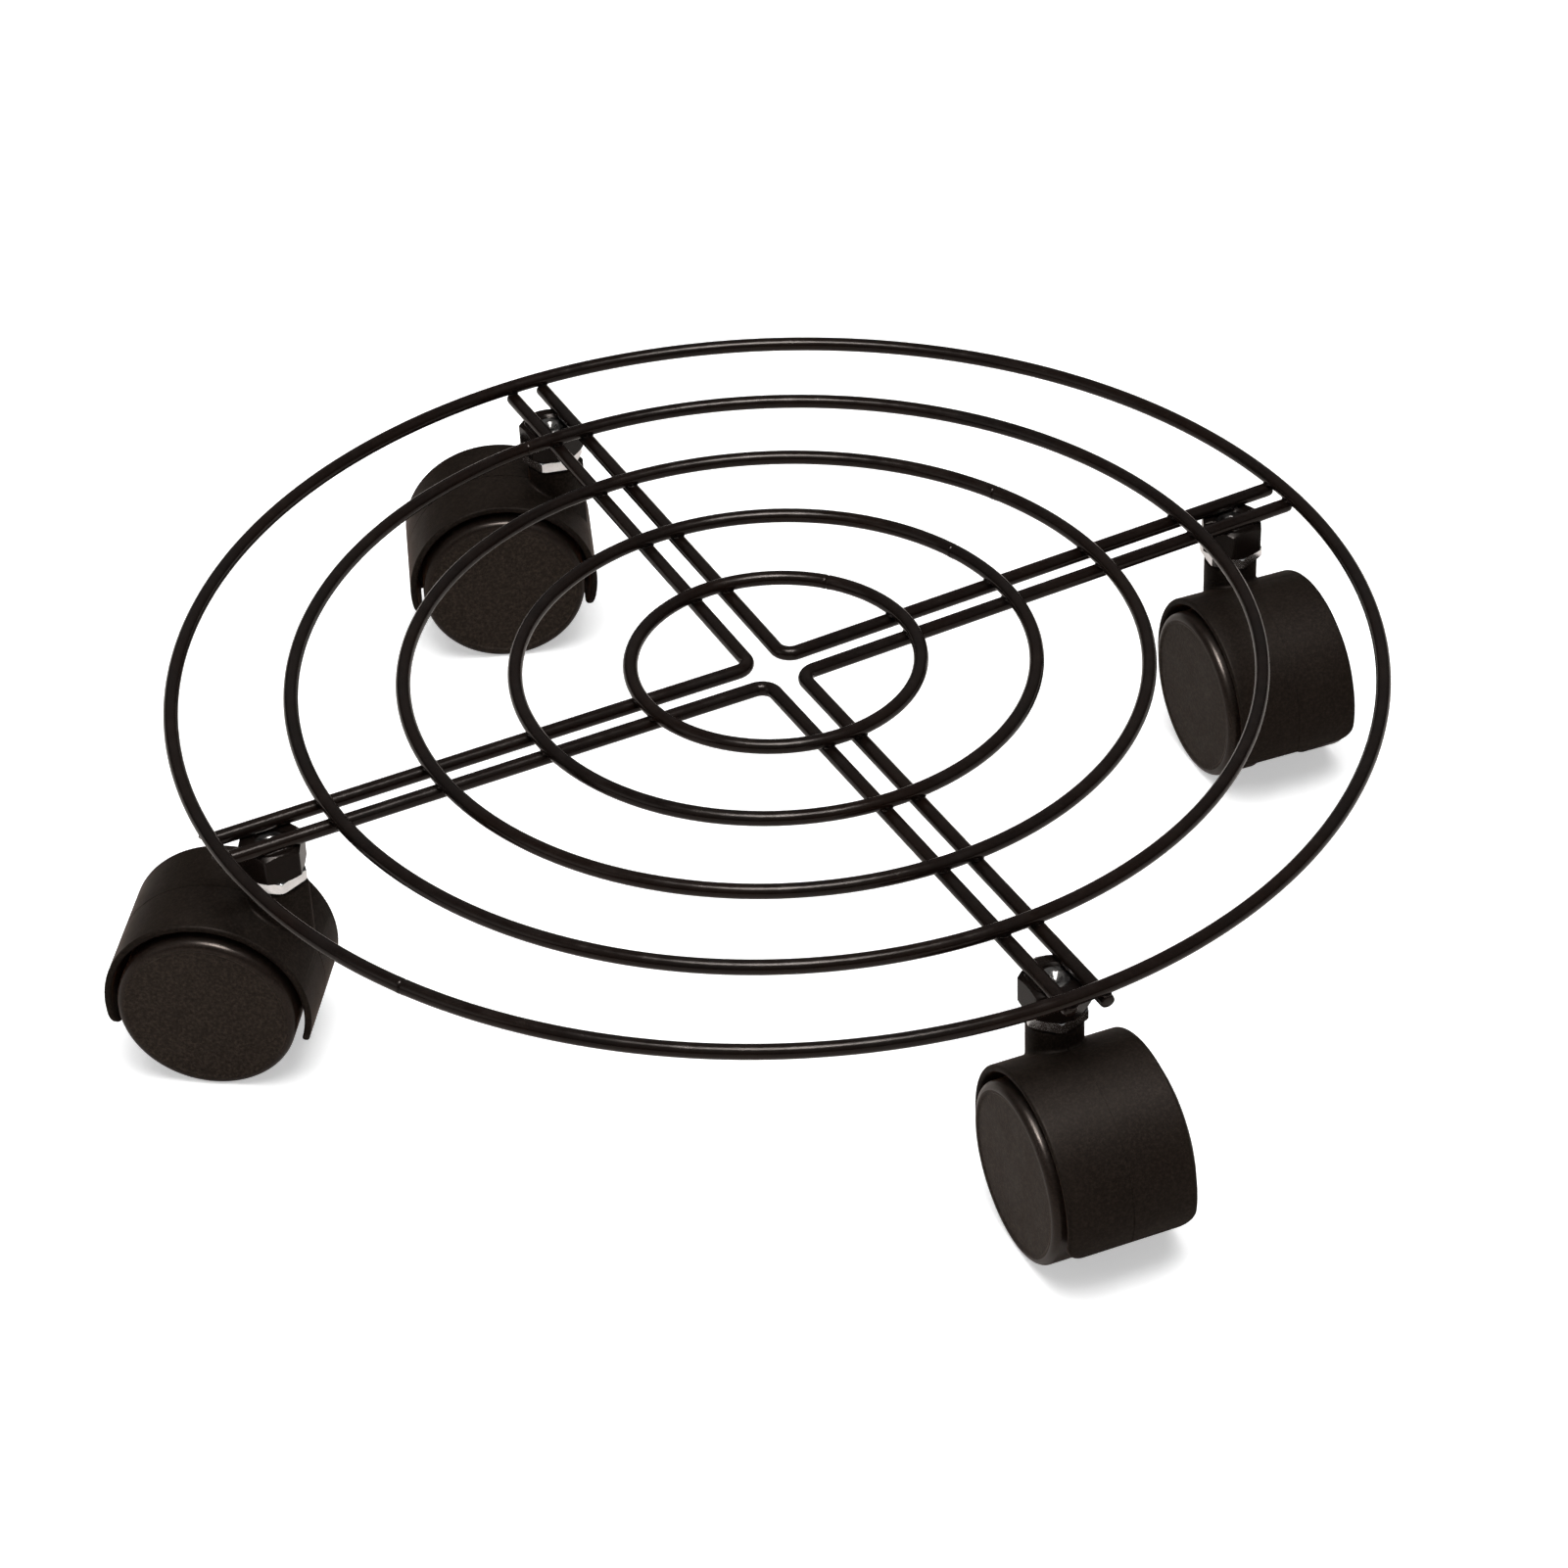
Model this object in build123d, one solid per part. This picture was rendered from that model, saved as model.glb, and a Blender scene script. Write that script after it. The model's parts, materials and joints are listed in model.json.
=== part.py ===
from build123d import *

import os
from math import cos, radians, sin

# A low round caddy that a heavy plant pot stands on and rolls with.
# Frame: origin on the floor below the centre of the rings, +Z up.
# The four arms of the cross point along +X, +Y, -X and -Y to within about a degree.
# Millimetres and degrees.

# --- Driving dimensions ---------------------------------------------------

# Wire deck
wire_diameter = 4.2
ring_plane_height = 77.0
ring_radii = {
    "ring_1_outer": 170.0,
    "ring_2": 136.5,
    "ring_3": 105.0,
    "ring_4": 73.5,
    "ring_5_inner": 41.0,
}
weld_sink = 0.3
arm_wire_spacing = 10.0
cross_bend_radius = 4.5
wire_end_overhang = 0.2
long_end_overhang = 1.8
wire_end_chamfer = 0.4

# Weld nut (M10) and caster stem
thread_diameter = 10.0
nut_across_flats = 17.0
nut_height = 9.3
nut_chamfer = 1.0
swivel_radius = 153.5
flange_across_flats = 16.0
flange_thickness = 3.2
flange_chamfer = 0.5
thread_end_gap = 0.6
thread_end_chamfer = 1.0
stem_pin_diameter = 8.0
stem_pin_length = 23.7
snap_groove_from_tip = 4.5
snap_groove_depth = 0.7
snap_groove_play = 0.2
snap_ring_width = 1.3
snap_ring_thickness = 1.2
snap_ring_opening = 3.5
pin_end_chamfer = 0.8

# Twin-wheel caster
wheel_diameter = 50.0
wheel_inner_face = 8.3
wheel_outer_face = 20.7
wheel_rim_thickness = 3.2
wheel_plate_thickness = 2.5
wheel_hub_radius = 6.5
wheel_hub_start = 8.1
wheel_edge_round = 1.8
wheel_inner_edge_round = 0.6
wheel_face_step_radius = 22.3
wheel_face_step_depth = 0.35
wheel_rib_count = 6
wheel_rib_thickness = 1.6
wheel_rib_setback = 2.0
axle_end_play = 0.3
axle_diameter = 6.0
axle_half_length = 17.4
axle_clearance = 0.05
axle_groove_width = 1.0
axle_groove_depth = 0.4
axle_groove_from_end = 2.0
axle_end_chamfer = 0.6
caster_trail = 18.4
hood_radius = 29.0
hood_wall = 2.0
hood_half_width = 18.4
hood_edge_round = 0.8
hood_end_angle = 20.7
hood_tilt = 2.7
hood_corner_radius = 5.0
web_thickness = 4.0
hub_radius = 7.0
hub_half_length = 7.9
neck_radius = 7.8
neck_rear_radius = 2.0
neck_rear_reach = 9.3
neck_top_gap = 1.2
neck_edge_round = 0.7
neck_root_round = 0.8
seam_width = 0.3
seam_depth = 0.12
stem_clearance = 0.05
snap_recess_depth = 1.2
snap_recess_height = 2.4
pin_end_play = 0.6
neck_base_below_pin = 2.6

# How far a cutting tool reaches past the piece it cuts
cut_margin = 1.0

# Where each arm points, in degrees from +X: the wires are welded a little off square
arm_angles = {
    "right": 1.2,
    "back": 89.3,
    "left": 179.1,
    "front": 270.3,
}
# Where one corner of each stem's flange points, in degrees from +X
flange_corner_angles = {
    "right": 21.0,
    "back": 45.0,
    "left": 21.0,
    "front": 12.0,
}
# Which way each caster trails behind its swivel axis, in degrees from +X
trail_angles = {
    "right": -95.8,
    "back": 158.5,
    "left": 144.9,
    "front": -94.8,
}

# --- Worked-out dimensions --------------------------------------------------

wire_radius = wire_diameter / 2
cross_wire_height = ring_plane_height - wire_diameter + weld_sink
nut_top = cross_wire_height - wire_radius + weld_sink
nut_bottom = nut_top - nut_height
flange_bottom = nut_bottom - flange_thickness
stem_tip = flange_bottom - stem_pin_length
snap_height = stem_tip + snap_groove_from_tip
axle_height = wheel_diameter / 2
neck_top = flange_bottom - neck_top_gap
bore_bottom = stem_tip - pin_end_play
neck_base = stem_tip - neck_base_below_pin
hood_end_height = axle_height - hood_radius * sin(radians(hood_end_angle))
hood_inner_radius = hood_radius - hood_wall
neck_root_height = axle_height + (hood_inner_radius + hood_radius) / 2 - hood_wall


def upright(radius, bottom, top):
    """A vertical cylinder about the Z axis between two heights."""
    return Pos(0, 0, (bottom + top) / 2) * Cylinder(radius, top - bottom)


def hexagon(across_flats, bottom, top):
    """A hexagonal prism about the Z axis between two heights."""
    outline = RegularPolygon(across_flats / 2, 6, major_radius=False)
    return Pos(0, 0, bottom) * extrude(outline, top - bottom)


def chamfered_hexagon(across_flats, bottom, top, chamfer_size):
    """A hexagonal prism whose corners are turned off at both ends, like a nut's."""
    corner_radius = across_flats / 2 / cos(radians(30))
    turned = upright(corner_radius, bottom, top)
    turned = chamfer(turned.edges().filter_by(GeomType.CIRCLE), chamfer_size / 2, chamfer_size)
    return hexagon(across_flats, bottom, top) & turned


# --- Wire deck --------------------------------------------------------------

def wire_ring(centreline_radius):
    return Pos(0, 0, ring_plane_height) * Torus(centreline_radius, wire_radius)


def polar(distance, angle):
    return Vector(distance * cos(radians(angle)), distance * sin(radians(angle)))


def cross_wire(first_angle, second_angle, start_overhang, rings):
    """One L-shaped wire under the rings, with a leg along each of two neighbouring arms.

    It is pressed slightly into each ring where it is welded.
    """
    side = arm_wire_spacing / 2
    reach = ring_radii["ring_1_outer"] + wire_end_overhang
    start_reach = ring_radii["ring_1_outer"] + start_overhang
    half_turn = (second_angle - first_angle) / 2
    start = polar(start_reach, first_angle) + polar(side, first_angle + 90)
    corner = polar(side / sin(radians(half_turn)), first_angle + half_turn)
    end = polar(reach, second_angle) + polar(side, second_angle - 90)
    path = FilletPolyline(start, corner, end, radius=cross_bend_radius)
    section = Plane(origin=path @ 0, z_dir=path % 0) * Circle(wire_radius)
    wire = sweep(section, path=path)
    ends = wire.faces().filter_by(GeomType.PLANE).edges()
    wire = chamfer(ends, wire_end_chamfer)
    wire = Pos(0, 0, cross_wire_height) * wire
    for ring in rings:
        wire -= ring
    return wire


def weld_nut(arm_angle, wires):
    """Nut under the two wires of an arm, with the wires sunk slightly into its top face."""
    nut = chamfered_hexagon(nut_across_flats, nut_bottom, nut_top, nut_chamfer)
    nut -= upright(thread_diameter / 2, nut_bottom - cut_margin, nut_top + cut_margin)
    nut = Rot(0, 0, arm_angle) * Pos(swivel_radius, 0, 0) * nut
    for wire in wires:
        nut -= wire
    return nut


# --- Caster, built with its swivel axis on Z and its wheels trailing along +X -------

def caster_stem():
    """Threaded end, hexagonal flange and plain swivel pin with a groove for the snap ring."""
    thread = upright(thread_diameter / 2, nut_bottom, nut_top - thread_end_gap)
    thread = chamfer(thread.edges().group_by(Axis.Z)[-1], thread_end_chamfer)
    flange = chamfered_hexagon(flange_across_flats, flange_bottom, nut_bottom, flange_chamfer)
    pin = upright(stem_pin_diameter / 2, stem_tip, flange_bottom)
    pin = chamfer(pin.edges().group_by(Axis.Z)[0], pin_end_chamfer)
    groove_floor = stem_pin_diameter / 2 - snap_groove_depth
    groove_half = (snap_ring_thickness + snap_groove_play) / 2
    groove = upright(stem_pin_diameter, snap_height - groove_half, snap_height + groove_half)
    groove -= upright(groove_floor, snap_height - groove_half, snap_height + groove_half)
    return thread + flange + pin - groove


def caster_snap_ring():
    """Open retaining ring seated in the groove of the stem."""
    inner_radius = stem_pin_diameter / 2 - snap_groove_depth
    bottom = snap_height - snap_ring_thickness / 2
    top = snap_height + snap_ring_thickness / 2
    ring = upright(inner_radius + snap_ring_width, bottom, top)
    ring -= upright(inner_radius, bottom, top)
    opening = Pos(stem_pin_diameter / 2, 0, snap_height) * Box(
        stem_pin_diameter, snap_ring_opening, 2 * snap_ring_thickness)
    return ring - opening


def across(radius, start, end):
    """A cylinder about the axle, between two distances along it."""
    place = Pos(caster_trail, (start + end) / 2, axle_height) * Rot(90, 0, 0)
    return place * Cylinder(radius, end - start)


def across_wall_edges(shell):
    """The short edges that run through the thickness of a hood's wall."""
    return shell.edges().filter_by(lambda edge: edge.length < 2 * hood_wall)


def tilted(shape):
    """Turned a little about the axle, so that the side below the neck hangs lower."""
    axle = Pos(caster_trail, 0, axle_height)
    return axle * Rot(0, -hood_tilt, 0) * axle.inverse() * shape


def hood_shell():
    """Round hood over the upper half of both wheels, open at the sides, with rounded edges."""
    shell = across(hood_radius, -hood_half_width, hood_half_width)
    shell -= across(hood_inner_radius, -hood_half_width, hood_half_width)
    trim_height = 2 * hood_radius
    trim = Rectangle(2 * hood_half_width, trim_height)
    trim = fillet(trim.vertices().group_by(Axis.Y)[0], hood_corner_radius)
    middle = hood_end_height + trim_height / 2
    ahead_of_hood = (caster_trail - 2 * hood_radius, 0, middle)
    trim = Plane(origin=ahead_of_hood, x_dir=(0, 1, 0), z_dir=(1, 0, 0)) * trim
    shell &= extrude(trim, 4 * hood_radius)
    return tilted(fillet(shell.edges() - across_wall_edges(shell), hood_edge_round))


def neck_outline():
    """Plan of the neck: round about the stem, drawn out to the rear edge of the hood."""
    front = Circle(neck_radius)
    rear = Pos(neck_rear_radius - neck_rear_reach, 0) * Circle(neck_rear_radius)
    return make_hull(front.edges() + rear.edges())


def mould_seam():
    """Fine groove round the middle of the hood where the two halves of its mould met."""
    seam = across(hood_radius + cut_margin, -seam_width / 2, seam_width / 2)
    return seam - across(hood_radius - seam_depth, -seam_width / 2, seam_width / 2)


def caster_housing():
    """Hood, neck, web between the wheels and axle hub, moulded in one piece."""
    foot = Pos(0, 0, axle_height) * extrude(neck_outline(), neck_base - axle_height)
    neck = Pos(0, 0, neck_base) * extrude(neck_outline(), neck_top - neck_base)
    neck = fillet(neck.edges().group_by(Axis.Z)[-1], neck_edge_round)
    hood = hood_shell()
    outside = hood + neck
    joins = new_edges(hood, neck, combined=outside)
    crown_joins = joins.filter_by(lambda edge: edge.bounding_box().max.Z > neck_root_height)
    outside = fillet(crown_joins, neck_root_round)
    web = across(hood_radius - hood_wall / 2, -web_thickness / 2, web_thickness / 2)
    web &= tilted(Pos(caster_trail, 0, hood_end_height) * Box(
        3 * hood_radius, web_thickness, 2 * hood_radius, align=(Align.CENTER, Align.CENTER, Align.MIN)))
    hub = across(hub_radius, -hub_half_length, hub_half_length)
    body = outside + foot + web + hub - (mould_seam() - neck - foot)
    body -= across(axle_diameter / 2, -hub_half_length - cut_margin, hub_half_length + cut_margin)
    body -= upright(stem_pin_diameter / 2 + stem_clearance, bore_bottom, neck_top + cut_margin)
    body -= upright(
        stem_pin_diameter / 2 + snap_recess_depth,
        snap_height - snap_recess_height / 2,
        snap_height + snap_recess_height / 2)
    return body


def caster_axle():
    """Steel pin held in the housing's hub, with a groove near each end."""
    pin = across(axle_diameter / 2, -axle_half_length, axle_half_length)
    pin = chamfer(pin.edges().filter_by(GeomType.CIRCLE), axle_end_chamfer)
    for side in (-1, 1):
        centre = side * (axle_half_length - axle_groove_from_end)
        groove = across(axle_diameter, centre - axle_groove_width / 2, centre + axle_groove_width / 2)
        floor = across(
            axle_diameter / 2 - axle_groove_depth,
            centre - axle_groove_width / 2,
            centre + axle_groove_width / 2)
        pin -= groove - floor
    return pin


def caster_wheel(side):
    """Dished wheel with a closed outer face, ribs and a blind hub.

    Its side is +1 or -1 along the axle.
    """
    radius = wheel_diameter / 2
    width = wheel_outer_face - wheel_inner_face
    plate_inside = wheel_outer_face - wheel_plate_thickness
    rim = Pos(0, 0, wheel_inner_face + width / 2) * Cylinder(radius, width)
    rim = fillet(rim.edges().filter_by(GeomType.CIRCLE).group_by(Axis.Z)[-1], wheel_edge_round)
    rim = fillet(rim.edges().filter_by(GeomType.CIRCLE).group_by(Axis.Z)[0], wheel_inner_edge_round)
    wheel = rim - upright(radius - wheel_rim_thickness, wheel_inner_face - cut_margin, plate_inside)
    dish_floor = wheel_outer_face - wheel_face_step_depth
    wheel -= upright(wheel_face_step_radius, dish_floor, wheel_outer_face + cut_margin)
    wheel += upright(wheel_hub_radius, wheel_hub_start, dish_floor)
    rib_length = radius - wheel_rim_thickness / 2
    rib_start = wheel_inner_face + wheel_rib_setback
    rib = Pos(rib_length / 2, 0, 0) * Box(
        rib_length, wheel_rib_thickness, plate_inside - rib_start,
        align=(Align.CENTER, Align.CENTER, Align.MIN))
    for step in range(wheel_rib_count):
        wheel += Rot(0, 0, step * 360 / wheel_rib_count) * Pos(0, 0, rib_start) * rib
    bore_end = axle_half_length + axle_end_play
    wheel -= upright(axle_diameter / 2 + axle_clearance, wheel_hub_start - cut_margin, bore_end)
    return Pos(caster_trail, 0, axle_height) * Rot(-90 * side, 0, 0) * wheel


def place_caster(piece, arm_angle, direction):
    """Move a caster piece to its arm and turn its own +X to a direction in the row frame."""
    return Rot(0, 0, arm_angle) * Pos(swivel_radius, 0, 0) * Rot(0, 0, direction - arm_angle) * piece


# --- Write one STEP file per node -------------------------------------------------

def write(name, shape):
    shape.label = name
    export_step(shape, os.path.join("parts", name + ".step"))


os.makedirs("parts", exist_ok=True)

rings = {name: wire_ring(radius) for name, radius in ring_radii.items()}
for name, ring in rings.items():
    write(name, ring)

wires = []
arms = list(arm_angles)
for first, second in zip(arms, arms[1:] + arms[:1]):
    second_angle = arm_angles[second]
    if second_angle < arm_angles[first]:
        second_angle += 360
    start_overhang = long_end_overhang if first == "front" else wire_end_overhang
    wires.append(cross_wire(arm_angles[first], second_angle, start_overhang, rings.values()))
    write(f"cross_wire_{first}_{second}", wires[-1])

stem_pieces = {
    "stem": caster_stem(),
    "snap_ring": caster_snap_ring(),
}
caster_pieces = {
    "housing": caster_housing(),
    "axle": caster_axle(),
    "wheel_a": caster_wheel(1),
    "wheel_b": caster_wheel(-1),
}
for place, arm_angle in arm_angles.items():
    write(f"{place}_weld_nut", weld_nut(arm_angle, wires))
    for kind, piece in stem_pieces.items():
        write(f"{place}_caster_{kind}", place_caster(piece, arm_angle, flange_corner_angles[place]))
    for kind, piece in caster_pieces.items():
        write(f"{place}_caster_{kind}", place_caster(piece, arm_angle, trail_angles[place]))
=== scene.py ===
import json
import math

import bpy
from mathutils import Matrix, Vector


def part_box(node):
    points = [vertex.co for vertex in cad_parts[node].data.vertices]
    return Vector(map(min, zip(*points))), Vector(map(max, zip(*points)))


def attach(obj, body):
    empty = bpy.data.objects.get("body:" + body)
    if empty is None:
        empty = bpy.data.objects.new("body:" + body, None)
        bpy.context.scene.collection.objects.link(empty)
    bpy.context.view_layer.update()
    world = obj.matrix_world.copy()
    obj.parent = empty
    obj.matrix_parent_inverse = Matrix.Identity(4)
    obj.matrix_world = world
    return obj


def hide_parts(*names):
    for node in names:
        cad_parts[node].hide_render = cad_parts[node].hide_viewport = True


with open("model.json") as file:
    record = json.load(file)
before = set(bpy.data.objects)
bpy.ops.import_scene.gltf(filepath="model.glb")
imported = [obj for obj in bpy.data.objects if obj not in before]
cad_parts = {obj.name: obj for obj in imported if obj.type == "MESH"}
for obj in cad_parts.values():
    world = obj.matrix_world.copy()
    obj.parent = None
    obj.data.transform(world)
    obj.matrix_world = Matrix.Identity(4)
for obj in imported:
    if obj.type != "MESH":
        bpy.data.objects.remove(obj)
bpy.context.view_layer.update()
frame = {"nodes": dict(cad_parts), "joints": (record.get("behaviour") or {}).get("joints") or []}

MM = 0.001
PLACES = ("front", "right", "back", "left")

# --- Camera: from the front, between the left and front arms ------------------
VIEW_AZIMUTH = -26.3
VIEW_ELEVATION = 36.95
VIEW_ROLL = -2.36
VIEW_DISTANCE = 7.167     # in outer ring radii
AIM_SIDE = 0.0054         # in outer ring radii, from the centre of the rings
AIM_AHEAD = -0.3426
FOCAL_LENGTH = 103.07
SENSOR_WIDTH = 36.0

# --- Wire deck details that the CAD model leaves plain --------------------------
ARM_SPACING = 10.0 * MM        # between the two wires of an arm
BEND_RADIUS = 4.5 * MM
END_OVERHANG = 0.2 * MM        # past the outer ring's centreline
LONG_END_OVERHANG = 1.8 * MM   # one wire's end on the front arm was cut longer
WELD_SINK = 0.3 * MM           # how far crossing wires were pressed into each other
WIRE_COLUMNS = 28              # points round a wire
SEAM_ANGLES = {                # where each ring's wire was butt welded, in degrees
    "ring_1_outer": 208.0,
    "ring_2": 96.0,
    "ring_3": 24.0,
    "ring_4": 17.5,
    "ring_5_inner": 41.0,
}

# --- Nut and stem ------------------------------------------------------------------
THREAD_RADIUS = 5.0 * MM
THREAD_PITCH = 1.5 * MM
THREAD_DEPTH = 0.75 * MM
THREAD_CLEARANCE = 0.06 * MM     # between a thread's surface and its nominal size
THREAD_ROWS = 14                 # rows of points in one pitch
CHAMFER_SLOPE = 1.6              # radius turned off a corner per height
FLANGE_THICKNESS = 3.2 * MM
NUT_ACROSS_FLATS = 17.0 * MM
FLANGE_ACROSS_FLATS = 16.0 * MM
NUT_CHAMFER = 1.0 * MM
FLANGE_CHAMFER = 0.25 * MM
NUT_SHARPNESS = 70               # a higher number gives a hexagon sharper corners
FLANGE_SHARPNESS = 260
PIN_RADIUS = 4.0 * MM
PIN_GROOVE_HEIGHT = 4.5 * MM     # middle of the snap ring's groove, above the pin's end
PIN_GROOVE_HALF_WIDTH = 0.7 * MM
PIN_GROOVE_DEPTH = 0.7 * MM
PIN_END_CHAMFER = 0.8 * MM
FLANGE_CORNER_ANGLES = {"right": 21.0, "back": 45.0, "left": 21.0, "front": 12.0}

# --- Wheel -------------------------------------------------------------------------
WHEEL_RADIUS = 24.99 * MM
WHEEL_INNER_FACE = 8.3 * MM      # distances from the middle of the caster
WHEEL_OUTER_FACE = 20.7 * MM
EDGE_ROUND = 2.1 * MM
INNER_EDGE_ROUND = 0.6 * MM
FACE_DISH = 0.35 * MM            # depth of the sunk face
RIM_THICKNESS = 3.2 * MM
PLATE_THICKNESS = 2.5 * MM
HUB_RADIUS = 6.5 * MM
HUB_START = 8.1 * MM
BORE_RADIUS = 3.05 * MM
BORE_END = 17.7 * MM
RIB_COUNT = 6

# --- Colours of dust, wear, painted shade and light ----------------------------------
DUST = (0.16, 0.13, 0.11)
NYLON_DUST = (0.17, 0.14, 0.12)
GRIME = (0.20, 0.17, 0.14)
BARE_STEEL = (0.30, 0.27, 0.25)
# Near black painted into the grain's pits: painted shade.
PIT_SHADE_BLACK = (0.001, 0.001, 0.001)
WHITE = (1.0, 1.0, 1.0, 1.0)


# ------------------------------------------------------------------------------------
# What the frame says
# ------------------------------------------------------------------------------------

def outer_ring_size():
    """Centreline radius, wire radius and height of the outer ring."""
    low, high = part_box("ring_1_outer")
    wire_radius = (high.z - low.z) / 2
    return (high.x - low.x) / 2 - wire_radius, wire_radius, (high.z + low.z) / 2


def joint(name):
    """A joint's record in the frame."""
    return next(j for j in frame["joints"] if j["name"] == name)


def swivel_place(place):
    """Level position of a caster's swivel axis, on the floor."""
    x, y, _ = joint(f"{place}_swivel")["pos_m"]
    return x, y, 0


def arm_angle(place):
    """Direction of an arm, from the swivel axis that stands on it."""
    x, y, _ = swivel_place(place)
    return math.atan2(y, x)


RING_RADIUS, WIRE_RADIUS, RING_HEIGHT = outer_ring_size()
CROSS_HEIGHT = RING_HEIGHT - 2 * WIRE_RADIUS + WELD_SINK


def ring_radius(node):
    """Radius of a ring's centreline."""
    low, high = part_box(node)
    return (high.x - low.x) / 2 - WIRE_RADIUS


def polar(distance, angle, z=0.0):
    """Point at a distance and direction from the Z axis."""
    return Vector((distance * math.cos(angle), distance * math.sin(angle), z))


# ------------------------------------------------------------------------------------
# Mesh helpers
# ------------------------------------------------------------------------------------

def add_mesh(name, points, faces, material, sharp_angle=35.0):
    """A new object from points and faces, smooth shaded except across sharp edges."""
    mesh = bpy.data.meshes.new(name)
    mesh.from_pydata([tuple(p) for p in points], [], faces)
    mesh.validate()
    mesh.shade_smooth()
    mesh.set_sharp_from_angle(angle=math.radians(sharp_angle))
    mesh.materials.append(material)
    obj = bpy.data.objects.new(name, mesh)
    bpy.context.scene.collection.objects.link(obj)
    return obj


def grid_faces(rows, columns, wrap_rows, wrap_columns, start=0):
    """Quads between neighbouring points of a grid stored row by row."""
    faces = []
    for r in range(rows if wrap_rows else rows - 1):
        for c in range(columns if wrap_columns else columns - 1):
            next_r = (r + 1) % rows
            next_c = (c + 1) % columns
            faces.append((
                start + r * columns + c,
                start + r * columns + next_c,
                start + next_r * columns + next_c,
                start + next_r * columns + c))
    return faces


def turned_over(faces):
    """The same faces looking the other way."""
    return [tuple(reversed(face)) for face in faces]


def tube(path, radii, columns=24, closed=False):
    """Points and faces of a round tube along level path points, with flat ends when it is open."""
    points = []
    count = len(path)
    up = Vector((0, 0, 1))
    for i, centre in enumerate(path):
        before = path[i - 1] if (i > 0 or closed) else path[i]
        after = path[(i + 1) % count] if (i < count - 1 or closed) else path[i]
        across = (after - before).normalized().cross(up)
        for k in range(columns):
            turn = 2 * math.pi * k / columns
            radius = radii[i](turn) if callable(radii[i]) else radii[i]
            points.append(centre + (across * math.cos(turn) + up * math.sin(turn)) * radius)
    faces = grid_faces(count, columns, closed, True)
    if not closed:
        faces.append(tuple(range(columns))[::-1])
        faces.append(tuple(range((count - 1) * columns, count * columns)))
    return points, turned_over(faces)


def lathe(profile, columns=72):
    """Points and faces of a solid of revolution about Z; the profile's ends lie on the axis."""
    points = [Vector((0, 0, profile[0][1]))]
    inner = profile[1:-1]
    for radius, z in inner:
        for k in range(columns):
            points.append(polar(radius, 2 * math.pi * k / columns, z))
    points.append(Vector((0, 0, profile[-1][1])))
    faces = grid_faces(len(inner), columns, False, True, 1)
    last = len(points) - 1
    for k in range(columns):
        next_k = (k + 1) % columns
        faces.append((0, 1 + next_k, 1 + k))
        faces.append((last, last - columns + k, last - columns + next_k))
    return points, faces


def join(*parts):
    """Several (points, faces) pairs as one."""
    points, faces = [], []
    for part_points, part_faces in parts:
        shift = len(points)
        points += list(part_points)
        faces += [tuple(i + shift for i in face) for face in part_faces]
    return points, faces


def moved(part, matrix):
    """A (points, faces) pair with its points carried through a matrix."""
    return [matrix @ Vector(p) for p in part[0]], part[1]


def wobble(x, y, z, size):
    """A smooth repeatable unevenness between -1 and 1 that varies over about the given size."""
    k = 2 * math.pi / size
    a = math.sin(k * x + 1.3 * math.sin(k * 0.71 * y + 0.5))
    b = math.sin(k * 0.83 * y + 1.1 * math.sin(k * 0.64 * z + 2.1))
    c = math.sin(k * 0.91 * z + 0.9 * math.sin(k * 0.77 * x + 4.0))
    return (a + b + c) / 3


# ------------------------------------------------------------------------------------
# Materials
# ------------------------------------------------------------------------------------

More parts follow.
